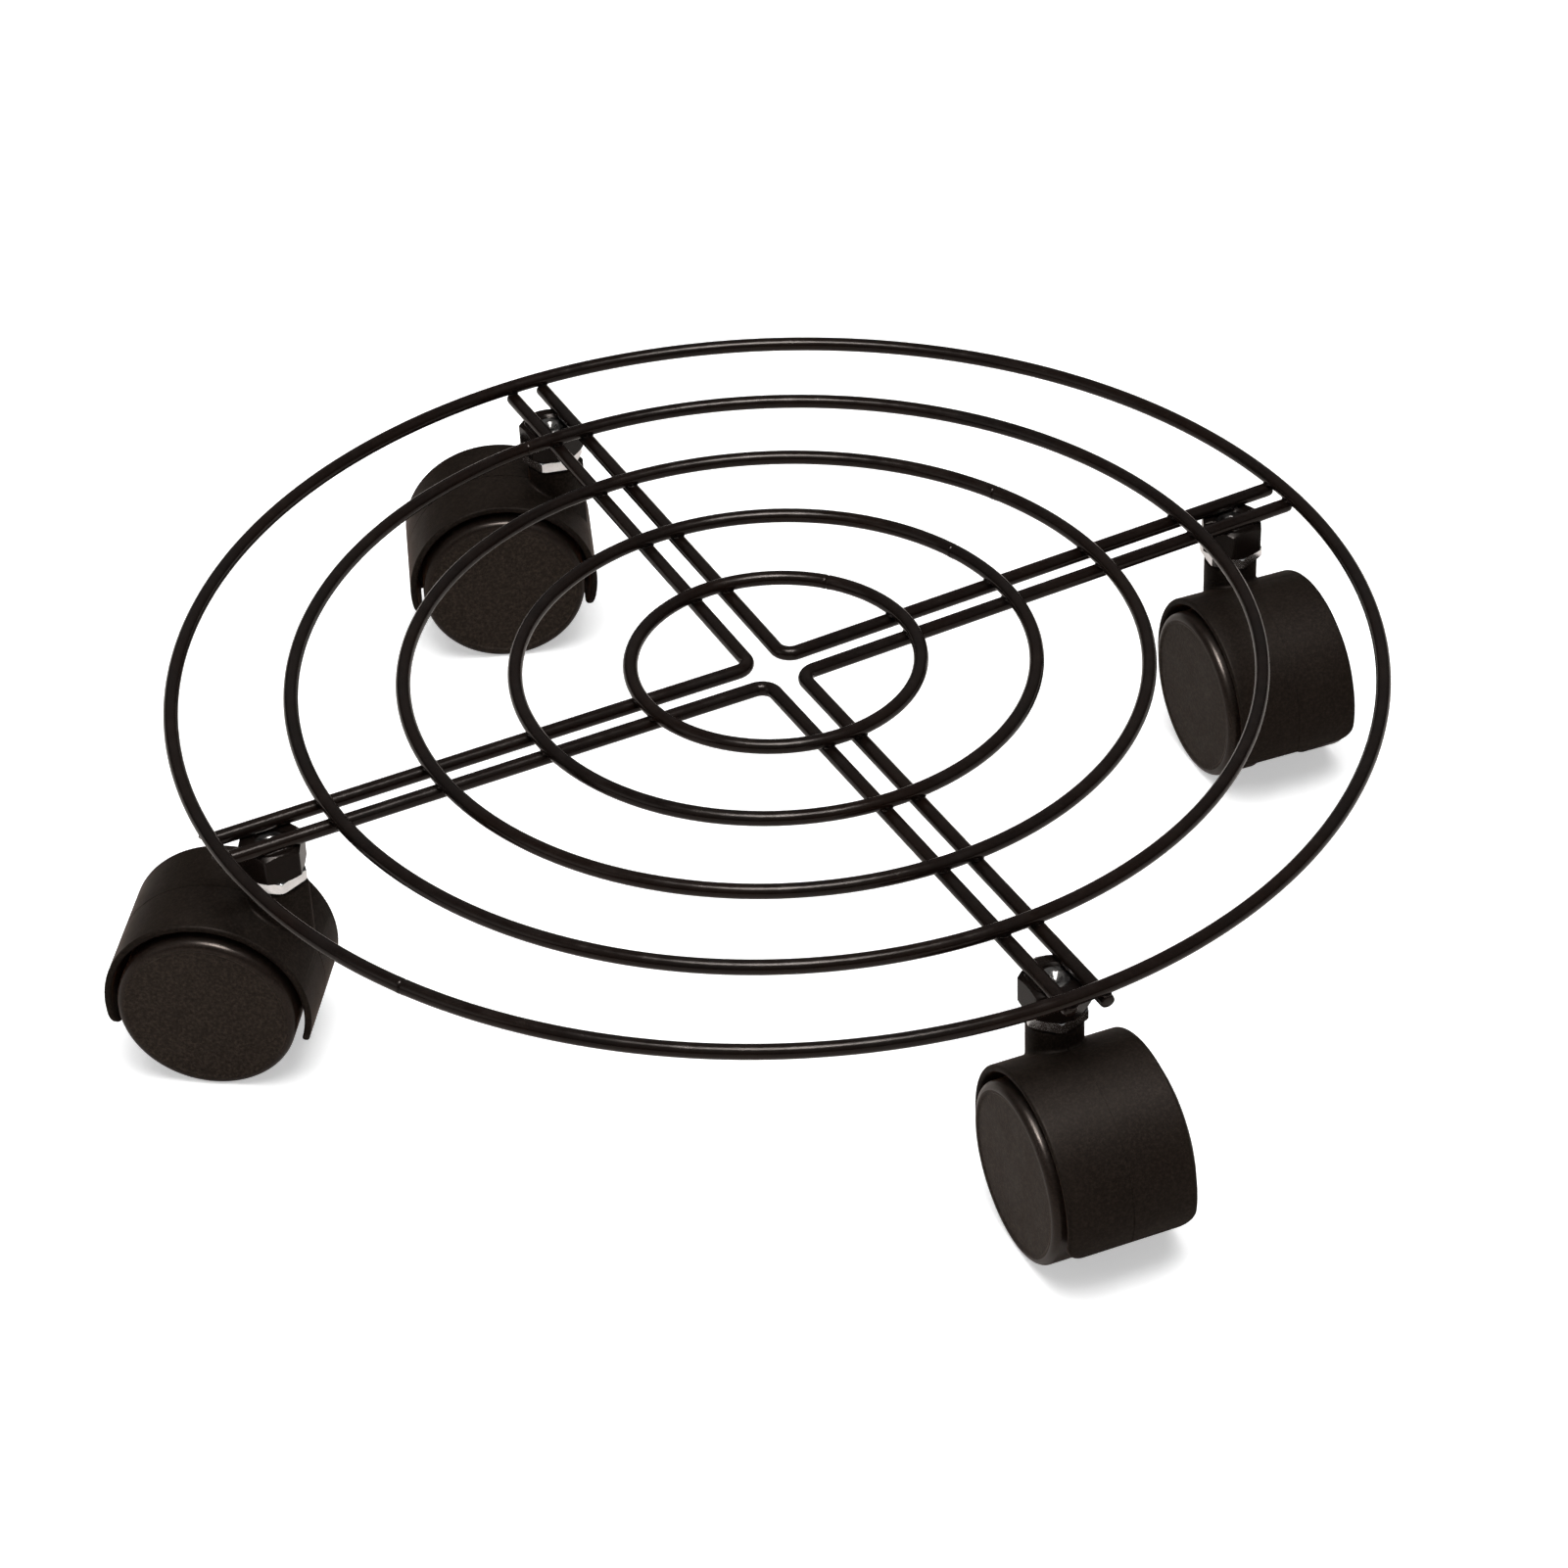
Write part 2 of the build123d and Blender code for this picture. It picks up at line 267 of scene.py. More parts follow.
class Nodes:
    """Short way to write a material's node tree."""

    def __init__(self, name):
        self.material = bpy.data.materials.new(name)
        self.material.use_nodes = True
        self.tree = self.material.node_tree
        self.shader = self.tree.nodes["Principled BSDF"]
        self.place = self.add("ShaderNodeTexCoord").outputs["Object"]

    def add(self, kind, **inputs):
        node = self.tree.nodes.new(kind)
        for key, value in inputs.items():
            self.set(node.inputs[key.replace("_", " ")], value)
        return node

    def set(self, socket, value):
        if isinstance(value, bpy.types.NodeSocket):
            self.tree.links.new(value, socket)
        else:
            socket.default_value = value

    def noise(self, scale, detail=3.0, roughness=0.55):
        node = self.add("ShaderNodeTexNoise", Scale=scale, Detail=detail, Roughness=roughness)
        self.set(node.inputs["Vector"], self.place)
        return node.outputs["Fac"]

    def cells(self, scale):
        node = self.add("ShaderNodeTexVoronoi", Scale=scale, Randomness=1.0)
        self.set(node.inputs["Vector"], self.place)
        return node.outputs["Distance"]

    def spread(self, value, low, high, to_low, to_high):
        """The value, from low..high to to_low..to_high, clamped."""
        node = self.add("ShaderNodeMapRange", Value=value)
        node.inputs["From Min"].default_value = low
        node.inputs["From Max"].default_value = high
        node.inputs["To Min"].default_value = to_low
        node.inputs["To Max"].default_value = to_high
        return node.outputs["Result"]

    def maths(self, operation, a, b=0.0):
        node = self.add("ShaderNodeMath")
        node.operation = operation
        node.use_clamp = operation != "SUBTRACT"
        self.set(node.inputs[0], a)
        self.set(node.inputs[1], b)
        return node.outputs[0]

    def mix(self, share, first, second):
        node = self.add("ShaderNodeMix")
        node.data_type = "RGBA"
        self.set(node.inputs["Factor"], share)
        self.set(node.inputs["A"], (*first, 1.0) if isinstance(first, tuple) else first)
        self.set(node.inputs["B"], (*second, 1.0) if isinstance(second, tuple) else second)
        return node.outputs["Result"]

    def edges(self, low, high):
        """1 on outward edges, 0 on flats, from the mesh's own curvature."""
        pointiness = self.add("ShaderNodeNewGeometry").outputs["Pointiness"]
        return self.spread(pointiness, low, high, 0.0, 1.0)

    def upward(self):
        """1 where the surface faces up, 0 where it is upright or faces down."""
        normal = self.add("ShaderNodeNewGeometry").outputs["Normal"]
        split = self.add("ShaderNodeSeparateXYZ", Vector=normal)
        return self.spread(split.outputs["Z"], 0.2, 1.0, 0.0, 1.0)

    def bump(self, *layers):
        """Stacked bumps, each (height, strength, depth in metres)."""
        normal = None
        for height, strength, depth in layers:
            node = self.add("ShaderNodeBump", Height=height, Strength=strength, Distance=depth)
            if normal is not None:
                self.set(node.inputs["Normal"], normal)
            normal = node.outputs["Normal"]
        self.set(self.shader.inputs["Normal"], normal)

    def finish(self, colour, roughness, **others):
        self.set(self.shader.inputs["Base Color"], colour)
        self.set(self.shader.inputs["Roughness"], roughness)
        for key, value in others.items():
            self.set(self.shader.inputs[key.replace("_", " ")], value)
        return self.material


def enamel(name, warm, cool, wear, shine):
    """Stoved brown-black enamel on steel: glossy, faintly rippled, thin on sharp edges."""
    n = Nodes(name)
    drift = n.noise(30.0, 4.0)
    colour = n.mix(n.spread(drift, 0.35, 0.65, 0.0, 1.0), warm, cool)
    specks = n.spread(n.noise(220.0, 5.0, 0.7), 0.45, 0.8, 0.0, 0.03)
    dust = n.maths("MULTIPLY", n.upward(), specks)
    colour = n.mix(dust, colour, DUST)
    flakes = n.spread(n.noise(900.0, 4.0, 0.7), 0.42, 0.6, 0.0, wear)
    chips = n.maths("MULTIPLY", n.edges(0.56, 0.64), flakes)
    colour = n.mix(chips, colour, BARE_STEEL)
    gloss = n.spread(n.noise(140.0, 5.0, 0.65), 0.3, 0.7, 0.14, 0.21)
    roughness = n.maths("ADD", gloss, n.maths("MULTIPLY", dust, 2.0))
    n.bump((n.noise(260.0, 2.0), 0.12, 0.06 * MM), (n.noise(1500.0, 3.0), 0.05, 0.010 * MM))
    return n.finish(
        colour, roughness, Specular_IOR_Level=shine, Specular_Tint=(1.0, 0.90, 0.84, 1.0),
        Metallic=n.maths("MULTIPLY", chips, 0.8))


def moulded(name, dark, light, grain, depth, smooth, shine):
    """Moulded nylon: spark-eroded grain with its pits painted dark as painted shade, a little
    dust, and edges rubbed smoother and painted lighter as a painted highlight.

    grain and depth are the texture's fineness and height, and smooth is its least roughness.
    """
    n = Nodes(name)
    drift = n.noise(45.0, 5.0, 0.6)
    colour = n.mix(n.spread(drift, 0.3, 0.7, 0.0, 1.0), dark, light)
    mottle = n.noise(grain * 0.42, 4.0, 0.75)
    colour = n.mix(n.spread(mottle, 0.44, 0.66, 0.0, 1.0), colour, tuple(2.1 * c for c in light))
    # The grain's pits are painted near black: painted shade, not a colour of the nylon.
    pit_shade = n.spread(n.noise(grain * 0.5, 3.0, 0.7), 0.34, 0.48, 0.45, 0.0)
    colour = n.mix(pit_shade, colour, PIT_SHADE_BLACK)
    specks = n.spread(n.noise(160.0, 6.0, 0.75), 0.5, 0.85, 0.0, 0.04)
    colour = n.mix(n.maths("MULTIPLY", n.upward(), specks), colour, NYLON_DUST)
    # Edges are painted lighter as a painted highlight; the same mask makes them less rough, where
    # they are rubbed.
    rubbed_edges_and_highlight = n.edges(0.515, 0.56)
    colour = n.mix(n.maths("MULTIPLY", rubbed_edges_and_highlight, 0.35), colour, tuple(2.4 * c for c in light))
    rough = n.spread(n.noise(110.0, 5.0, 0.7), 0.3, 0.7, smooth, smooth + 0.10)
    roughness = n.maths("SUBTRACT", rough, n.maths("MULTIPLY", rubbed_edges_and_highlight, 0.16))
    n.bump(
        (n.cells(grain), 0.40, depth),
        (n.noise(grain * 0.4, 4.0, 0.7), 0.45, 2 * depth),
        (n.noise(60.0, 2.0), 0.10, 0.15 * MM))
    n.set(n.shader.inputs["Sheen Tint"], (0.60, 0.24, 0.11, 1.0))
    n.set(n.shader.inputs["Specular Tint"], (1.0, 0.85, 0.76, 1.0))
    return n.finish(
        colour, roughness, Specular_IOR_Level=shine, Sheen_Weight=0.08, Sheen_Roughness=0.25)


def plated(name, colour, smooth, dull):
    """Plated steel: faintly cloudy, with a little grime and a fine bump."""
    n = Nodes(name)
    cloud = n.noise(260.0, 4.0, 0.6)
    tone = n.mix(n.spread(cloud, 0.3, 0.7, 0.0, 1.0), colour, tuple(0.82 * c for c in colour))
    grime = n.spread(n.noise(700.0, 5.0, 0.7), 0.60, 0.80, 0.0, 0.20)
    tone = n.mix(grime, tone, GRIME)
    roughness = n.spread(n.noise(500.0, 4.0), 0.3, 0.7, smooth, dull)
    n.bump((n.noise(1500.0, 3.0), 0.08, 0.012 * MM))
    return n.finish(tone, roughness, Metallic=1.0)


def pale_floor():
    """Near white to the camera, with a glow only the camera sees; it bounces less light up."""
    n = Nodes("pale_floor")
    tone = n.mix(n.noise(3.0, 4.0), (0.93, 0.93, 0.93), (0.90, 0.90, 0.905))
    path = n.add("ShaderNodeLightPath")
    bounced = n.mix(path.outputs["Is Glossy Ray"], (0.85, 0.79, 0.74), (0.68, 0.63, 0.59))
    tone = n.mix(path.outputs["Is Camera Ray"], bounced, tone)
    roughness = n.spread(n.noise(20.0, 3.0), 0.3, 0.7, 0.72, 0.82)
    n.set(n.shader.inputs["Emission Color"], WHITE)
    glow = n.maths("MULTIPLY", path.outputs["Is Camera Ray"], 0.45)
    return n.finish(tone, roughness, Specular_IOR_Level=0.15, Emission_Strength=glow)


WIRE_ENAMEL = enamel(
    "wire_enamel", warm=(0.0060, 0.0030, 0.0020), cool=(0.0042, 0.0028, 0.0024),
    wear=0.5, shine=0.20)
NUT_ENAMEL = enamel(
    "nut_enamel", warm=(0.0060, 0.0038, 0.0030), cool=(0.0040, 0.0030, 0.0026),
    wear=0.8, shine=0.09)
HOUSING_NYLON = moulded(
    "housing_nylon", dark=(0.0056, 0.0039, 0.0029), light=(0.0077, 0.0055, 0.0042),
    grain=2600.0, depth=0.035 * MM, smooth=0.52, shine=0.04)
FACE_NYLON = moulded(
    "wheel_face_nylon", dark=(0.0140, 0.0102, 0.0078), light=(0.0172, 0.0128, 0.0100),
    grain=2400.0, depth=0.045 * MM, smooth=0.48, shine=0.07)
TREAD_NYLON = moulded(
    "wheel_tread_nylon", dark=(0.0060, 0.0038, 0.0028), light=(0.0080, 0.0052, 0.0040),
    grain=3600.0, depth=0.002 * MM, smooth=0.26, shine=0.18)
ZINC = plated("zinc_plate", (0.90, 0.90, 0.91), smooth=0.12, dull=0.24)
# The threaded end in the nut's bore: the stem's zinc painted darker, as painted shade.
THREAD_PAINTED_SHADE = plated("thread_painted_shade", (0.26, 0.25, 0.24), smooth=0.14, dull=0.26)
SPRING_STEEL = plated("spring_steel", (0.40, 0.40, 0.42), smooth=0.25, dull=0.38)


# ------------------------------------------------------------------------------------
# Wire deck
# ------------------------------------------------------------------------------------

def ring_wire(node):
    """A ring of round wire, with the slightly swollen butt weld that closes it."""
    radius = ring_radius(node)
    seam = math.radians(SEAM_ANGLES[node])
    steps = max(96, int(radius / MM * 1.8))
    spacing = 2 * math.pi / steps
    turns = [2 * math.pi * k / steps for k in range(steps)]
    turns = [t for t in turns if abs(math.remainder(t - seam, 2 * math.pi)) > 1.5 * spacing]
    half_width = 1.4 * spacing
    half_count = 14                       # close rows on either side of the seam
    turns += [seam + half_width * (k / half_count - 1) for k in range(2 * half_count + 1)]
    turns.sort(key=lambda t: t % (2 * math.pi))
    swell_height, swell_width = 0.16 * MM, 1.1 * MM
    groove_depth, groove_width = 0.30 * MM, 0.22 * MM

    def section(turn):
        along = math.remainder(turn - seam, 2 * math.pi) * radius
        swell = swell_height * math.exp(-(along / swell_width) ** 2)
        groove = groove_depth * math.exp(-(along / groove_width) ** 2)

        def wire(k):
            ground_flush = 0.5 - 0.5 * math.sin(k)
            return WIRE_RADIUS + swell * ground_flush - groove
        return wire

    path = [polar(radius, t, RING_HEIGHT) for t in turns]
    points, faces = tube(path, [section(t) for t in turns], WIRE_COLUMNS, closed=True)
    piece = add_mesh(node + "_wire", points, faces, WIRE_ENAMEL)
    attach(piece, "deck")
    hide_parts(node)


def bent_path(first, second, start_overhang):
    """Centreline of a cross wire: in along one arm, round a small bend and out along the next."""
    side = ARM_SPACING / 2
    start_reach = RING_RADIUS + start_overhang
    reach = RING_RADIUS + END_OVERHANG
    half = (second - first) / 2
    start = (side + BEND_RADIUS) / math.tan(half)
    centre = polar((side + BEND_RADIUS) / math.sin(half), first + half)
    straight_steps, bend_steps = 60, 16
    path = []
    for k in range(straight_steps + 1):
        along = start_reach + (start - start_reach) * k / straight_steps
        path.append(polar(along, first) + polar(side, first + math.pi / 2))
    for k in range(1, bend_steps):
        turn = first - math.pi / 2 - (math.pi - 2 * half) * k / bend_steps
        path.append(centre + polar(BEND_RADIUS, turn))
    for k in range(straight_steps + 1):
        along = start + (reach - start) * k / straight_steps
        path.append(polar(along, second) + polar(side, second - math.pi / 2))
    return [Vector((p.x, p.y, CROSS_HEIGHT)) for p in path]


def cross_wire(first_place, second_place):
    """L-shaped wire whose ends were sheared off, which pinches them slightly."""
    first, second = arm_angle(first_place), arm_angle(second_place)
    if second < first:
        second += 2 * math.pi
    overhang = LONG_END_OVERHANG if first_place == "front" else END_OVERHANG
    path = bent_path(first, second, overhang)
    # Depth from the cut in mm, and the share of the wire's full width left there.
    pinches = ((0.0, 0.62), (0.15, 0.80), (0.45, 0.93), (0.9, 0.985), (1.5, 1.0))
    start, end = path[0], path[-1]
    inward_start = (path[1] - start).normalized()
    inward_end = (path[-2] - end).normalized()
    head = [start + inward_start * depth * MM for depth, _ in pinches]
    tail = [end + inward_end * depth * MM for depth, _ in pinches]
    path = head + path[1:-1] + tail[::-1]

    def section(share):
        def pinched(k):
            return WIRE_RADIUS * (1 - (1 - share) * (0.35 + 0.65 * math.sin(k) ** 2))
        return pinched

    shares = [share for _, share in pinches]
    radii = [section(share) for share in shares]
    radii += [WIRE_RADIUS] * (len(path) - 2 * len(pinches))
    radii += [section(share) for share in reversed(shares)]
    points, faces = tube(path, radii, WIRE_COLUMNS)
    piece = add_mesh(f"cross_wire_{first_place}_{second_place}_bent", points, faces, WIRE_ENAMEL)
    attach(piece, "deck")
    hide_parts(f"cross_wire_{first_place}_{second_place}")


def nugget(centre, angle, length, width, height):
    """A small uneven pillow of weld metal squeezed out between two wires."""
    rows, columns = 10, 20
    profile = []
    for r in range(rows + 1):
        tilt = math.pi * r / rows - math.pi / 2
        profile.append((math.cos(tilt), math.sin(tilt)))
    part = lathe(profile, columns)
    points = []
    for p in part[0]:
        sized = Vector((p.x * length, p.y * width, p.z * height))
        q = centre + Matrix.Rotation(angle, 3, "Z") @ sized
        lump = 1 + 0.14 * wobble(q.x, q.y, q.z, 2.3 * MM)
        points.append(centre + (q - centre) * lump)
    return points, part[1]


def ring_welds(node):
    """The eight spots where one ring is resistance welded to the cross wires."""
    radius = ring_radius(node)
    contact = RING_HEIGHT - WIRE_RADIUS + WELD_SINK / 2
    width, height = 1.9 * MM, 0.75 * MM
    spots = []
    for place in PLACES:
        angle = arm_angle(place)
        for side in (-ARM_SPACING / 2, ARM_SPACING / 2):
            along = math.sqrt(radius ** 2 - side ** 2)
            centre = polar(along, angle, contact) + polar(side, angle + math.pi / 2)
            spots.append(nugget(centre, angle, width, width, height))
    points, faces = join(*spots)
    piece = add_mesh(node + "_welds", points, faces, WIRE_ENAMEL, 60)
    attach(piece, "deck")


# ------------------------------------------------------------------------------------
# Nut, weld beads and stem
# ------------------------------------------------------------------------------------

def hex_radius(turn, across_flats, sharpness):
    """Distance from the axis to a hexagon with slightly rounded corners on +X."""
    total = 0.0
    for k in range(6):
        facing = math.cos(turn - math.pi / 6 - k * math.pi / 3)
        if facing > 0:
            total += facing ** sharpness
    return across_flats / 2 / total ** (1 / sharpness)


def hex_levels(bottom, top, chamfer, rows):
    """Heights for a hexagonal piece, close together where its corners are turned off."""
    near = [bottom + chamfer * 1.4 * k / rows for k in range(rows + 1)]
    far = [top - chamfer * 1.4 * k / rows for k in range(rows, -1, -1)]
    return near + far


def turned_limit(z, bottom, top, across_flats, chamfer):
    """Greatest radius that turning has left on a hexagonal piece at a height."""
    corner = across_flats / 2 / math.cos(math.pi / 6)
    end = min(z - bottom, top - z)
    return corner - (chamfer - end) * CHAMFER_SLOPE if end < chamfer else corner * 1.2


def thread_radius(turn, z, crest, depth):
    """Radius of a V thread with flattened crests and roots."""
    phase = (z / THREAD_PITCH - turn / (2 * math.pi)) % 1.0
    rise = 1 - abs(2 * phase - 1)
    return crest - depth * min(1.0, max(0.0, 1.35 * (1 - rise) - 0.1))


def weld_nut(place):
    """Hexagonal nut with turned corners and a cut thread, wires sunk slightly into its top."""
    low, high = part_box(f"{place}_weld_nut")
    bottom, top = low.z, high.z
    columns = 144
    turns = [2 * math.pi * k / columns for k in range(columns)]
    points = []
    levels = hex_levels(bottom, top, NUT_CHAMFER, 9)
    for z in levels:
        limit = turned_limit(z, bottom, top, NUT_ACROSS_FLATS, NUT_CHAMFER)
        for turn in turns:
            flat = hex_radius(turn, NUT_ACROSS_FLATS, NUT_SHARPNESS)
            points.append(polar(min(flat, limit), turn, z))
    mouth = 0.6 * MM
    steps = int((top - bottom) / THREAD_PITCH * THREAD_ROWS)
    for r in range(steps + 1):
        z = top + (bottom - top) * r / steps
        end = min(z - bottom, top - z)
        open_mouth = THREAD_RADIUS + mouth / 2 - max(0.0, end) * 1.2
        for turn in turns:
            cut = thread_radius(turn, z, THREAD_RADIUS + THREAD_CLEARANCE, THREAD_DEPTH)
            points.append(polar(max(cut, open_mouth) if end < mouth else cut, turn, z))
    faces = grid_faces(len(levels) + steps + 1, columns, True, True)
    turned = Matrix.Rotation(arm_angle(place), 4, "Z")
    placing = Matrix.Translation(swivel_place(place)) @ turned
    points, faces = moved((points, faces), placing)
    piece = add_mesh(f"{place}_nut_threaded", points, faces, NUT_ENAMEL, 30)
    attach(piece, "deck")
    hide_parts(f"{place}_weld_nut")


def weld_bead(start, end, radius):
    """A short hand-laid bead: a rippled sausage with tapered ends."""
    count = 34
    path, radii = [], []
    for k in range(count):
        share = k / (count - 1)
        centre = start.lerp(end, share)
        centre += Vector((0, 0, 0.12 * radius * wobble(centre.x, centre.y, 0, 6 * MM)))
        taper = math.sqrt(max(0.02, 1 - (2 * share - 1) ** 4))
        ripple = 0.10 * abs(math.sin(math.pi * share * 9))
        lump = 0.08 * wobble(centre.x, centre.y, 0, 5 * MM)
        path.append(centre)
        radii.append(radius * taper * (1 + ripple + lump))
    return tube(path, radii, 16)


def nut_welds(place):
    """Beads along the outer sides of the two wires where the nut is welded on."""
    x, y, _ = swivel_place(place)
    angle = arm_angle(place)
    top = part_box(f"{place}_weld_nut")[1].z
    half_length, radius = 4.4 * MM, 1.1 * MM
    beads = []
    for side in (-1, 1):
        offset = side * (ARM_SPACING / 2 + WIRE_RADIUS * 0.62)
        middle = Vector((x, y, top - 0.15 * MM)) + polar(offset, angle + math.pi / 2)
        reach = polar(half_length, angle)
        beads.append(weld_bead(middle - reach, middle + reach, radius))
    points, faces = join(*beads)
    piece = add_mesh(f"{place}_nut_welds", points, faces, NUT_ENAMEL, 60)
    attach(piece, "deck")


def caster_stem(place):
    """Threaded end, hexagonal flange and grooved swivel pin."""
    low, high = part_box(f"{place}_caster_stem")
    nut_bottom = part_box(f"{place}_weld_nut")[0].z
    flange_bottom = nut_bottom - FLANGE_THICKNESS
    columns = 96
    turns = [2 * math.pi * k / columns for k in range(columns)]
    rings = []

    def add_ring(z, radius_at):
        rings.append([polar(radius_at(turn), turn, z) for turn in turns])

    def add_round(z, radius):
        add_ring(z, lambda turn: radius)

    tip_radius = THREAD_RADIUS - 1.0 * MM
    centre_hole = (                     # radius, and depth below the stem's end
        (0.2 * MM, 1.5 * MM), (0.5 * MM, 1.4 * MM), (1.9 * MM, 0.15 * MM), (2.2 * MM, 0.0))
    for radius, depth in centre_hole:
        add_round(high.z - depth, radius)
    add_round(high.z, tip_radius)
    steps = int((high.z - nut_bottom) / THREAD_PITCH * THREAD_ROWS)
    crest = THREAD_RADIUS - THREAD_CLEARANCE
    for s in range(1, steps):
        z = high.z + (nut_bottom - high.z) * s / steps
        tip = tip_radius + (high.z - z)
        add_ring(z, lambda turn: min(tip, thread_radius(turn, z, crest, THREAD_DEPTH)))
    add_round(nut_bottom, THREAD_RADIUS - THREAD_DEPTH)
    for z in reversed(hex_levels(flange_bottom, nut_bottom, FLANGE_CHAMFER, 6)):
        limit = turned_limit(z, flange_bottom, nut_bottom, FLANGE_ACROSS_FLATS, FLANGE_CHAMFER)
        add_ring(z, lambda turn: min(
            hex_radius(turn, FLANGE_ACROSS_FLATS, FLANGE_SHARPNESS), limit))
    groove_top = low.z + PIN_GROOVE_HEIGHT + PIN_GROOVE_HALF_WIDTH
    groove_bottom = low.z + PIN_GROOVE_HEIGHT - PIN_GROOVE_HALF_WIDTH
    groove_radius = PIN_RADIUS - PIN_GROOVE_DEPTH
    for z, radius in (
            (flange_bottom, PIN_RADIUS), (groove_top, PIN_RADIUS),
            (groove_top, groove_radius), (groove_bottom, groove_radius),
            (groove_bottom, PIN_RADIUS), (low.z + PIN_END_CHAMFER, PIN_RADIUS),
            (low.z, PIN_RADIUS - PIN_END_CHAMFER), (low.z, 0.3 * MM)):
        add_round(z, radius)
    points = [p for ring in rings for p in ring]
    faces = grid_faces(len(rings), columns, False, True)
    faces.append(tuple(range(columns))[::-1])
    faces.append(tuple(range(len(points) - columns, len(points))))
    faces = turned_over(faces)
    turned = Matrix.Rotation(math.radians(FLANGE_CORNER_ANGLES[place]), 4, "Z")
    placing = Matrix.Translation(swivel_place(place)) @ turned
    points, faces = moved((points, faces), placing)
    piece = add_mesh(f"{place}_stem_threaded", points, faces, ZINC, 30)
    piece.data.materials.append(THREAD_PAINTED_SHADE)
    # Faces above the flange, down in the nut's bore, take the darker zinc: painted shade.
    for polygon in piece.data.polygons:
        if polygon.center.z > nut_bottom + 0.01 * MM:     # clear of the flange's top face
            polygon.material_index = 1
    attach(piece, "deck")
    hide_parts(f"{place}_caster_stem")


# ------------------------------------------------------------------------------------
# Wheels
# ------------------------------------------------------------------------------------

def arc(centre_radius, centre_z, size, start, end, steps):
    """Points of an arc in the (radius, z) plane, angles in degrees."""
    points = []
    for k in range(steps + 1):
        turn = math.radians(start + (end - start) * k / steps)
        points.append((centre_radius + size * math.cos(turn), centre_z + size * math.sin(turn)))
    return points


def wheel_profile():
    """Half section of a wheel, from the middle of its face round to the bottom of its bore."""
    dish_radius = WHEEL_RADIUS - EDGE_ROUND - 1.3 * MM
    dish_slope = 0.9 * MM
    profile = [(0.0, WHEEL_OUTER_FACE - FACE_DISH * 0.8)]
    for share in (0.15, 0.3, 0.45, 0.6, 0.75, 0.9, 0.97):
        sink = FACE_DISH * (0.8 + 0.2 * share)
        profile.append((dish_radius * share, WHEEL_OUTER_FACE - sink))
    slope_steps = 8
    for k in range(slope_steps + 1):
        rise = 0.5 - 0.5 * math.cos(math.pi * k / slope_steps)
        along = dish_radius + dish_slope * k / slope_steps
        profile.append((along, WHEEL_OUTER_FACE - FACE_DISH * (1 - rise)))
    profile += arc(WHEEL_RADIUS - EDGE_ROUND, WHEEL_OUTER_FACE - EDGE_ROUND, EDGE_ROUND, 90, 0, 14)
    small = INNER_EDGE_ROUND
    profile += arc(WHEEL_RADIUS - small, WHEEL_INNER_FACE + small, small, 0, -90, 6)
    rim_inside = WHEEL_RADIUS - RIM_THICKNESS
    profile += arc(rim_inside + small, WHEEL_INNER_FACE + small, small, -90, -180, 5)
    plate_inside = WHEEL_OUTER_FACE - PLATE_THICKNESS
    corner = 1.2 * MM
    profile += arc(rim_inside - corner, plate_inside - corner, corner, 0, 90, 6)
    profile += arc(HUB_RADIUS + corner, plate_inside - corner, corner, 90, 180, 6)
    hub_edge = 0.5 * MM
    profile += arc(HUB_RADIUS - hub_edge, HUB_START + hub_edge, hub_edge, 0, -90, 4)
    bore_edge = 0.4 * MM
    profile += [
        (BORE_RADIUS + bore_edge, HUB_START), (BORE_RADIUS, HUB_START + bore_edge),
        (BORE_RADIUS, BORE_END), (0.0, BORE_END)]
    return profile


def wheel_rib(turn):
    """One rib between hub and rim, rounded along its free edge."""
    overlap = 0.5 * MM                  # into the hub, the rim and the plate
    start = HUB_RADIUS - overlap
    end = WHEEL_RADIUS - RIM_THICKNESS + overlap
    top = WHEEL_OUTER_FACE - PLATE_THICKNESS + overlap
    bottom = WHEEL_INNER_FACE + 2.0 * MM
    half = 0.8 * MM
    rounding = half * 0.6
    section = [(half, top), (half, bottom + rounding)]
    for k in range(1, 6):
        angle = math.pi * k / 6
        section.append((half * math.cos(angle), bottom + rounding - rounding * math.sin(angle)))
    section += [(-half, bottom + rounding), (-half, top)]
    points = [(along, side, z) for along in (start, end) for side, z in section]
    count = len(section)
    faces = [(k, (k + 1) % count, count + (k + 1) % count, count + k) for k in range(count)]
    faces += [tuple(reversed(range(count))), tuple(range(count, 2 * count))]
    return moved((points, turned_over(faces)), Matrix.Rotation(turn, 4, "Z"))


def trail_angle(place):
    """Level direction from the swivel axis to the axle."""
    swivel = Vector(joint(f"{place}_swivel")["pos_m"])
    axle = Vector(joint(f"{place}_wheel_a_roll")["pos_m"])
    return math.atan2(axle.y - swivel.y, axle.x - swivel.x)


